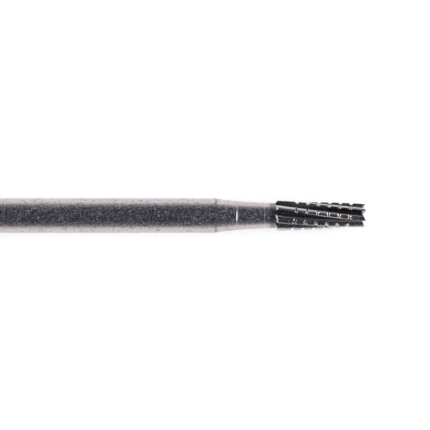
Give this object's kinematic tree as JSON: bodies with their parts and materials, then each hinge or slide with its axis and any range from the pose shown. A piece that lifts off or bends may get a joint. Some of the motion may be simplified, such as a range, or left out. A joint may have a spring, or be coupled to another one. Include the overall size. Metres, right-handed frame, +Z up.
{
  "type": "carbide burr",
  "caption": "Straight-shank dental and lab rotary cutter: a tapered, cross-cut carbide head with helical blades, brazed to a round steel shank that a handpiece collet grips.",
  "frame": {"origin": "middle of the bur's length, on the surface it lies on, straight under its axis", "axes": "+X along the bur's axis towards the cutting tip, +Z up from the surface it lies on, +Y across it"},
  "size_m": [0.0446, 0.0024, 0.0023],
  "materials": {
    "ground_steel": "fine ground, slightly grainy",
    "braze_metal": "pale silver braze, ground flush",
    "tungsten_carbide": "ground, dark grey, semi-gloss"
  },
  "bodies": {
    "root": {"steel_shank": "ground_steel", "braze_joint": "braze_metal", "carbide_cutter": "tungsten_carbide"}
  },
  "joints": []
}
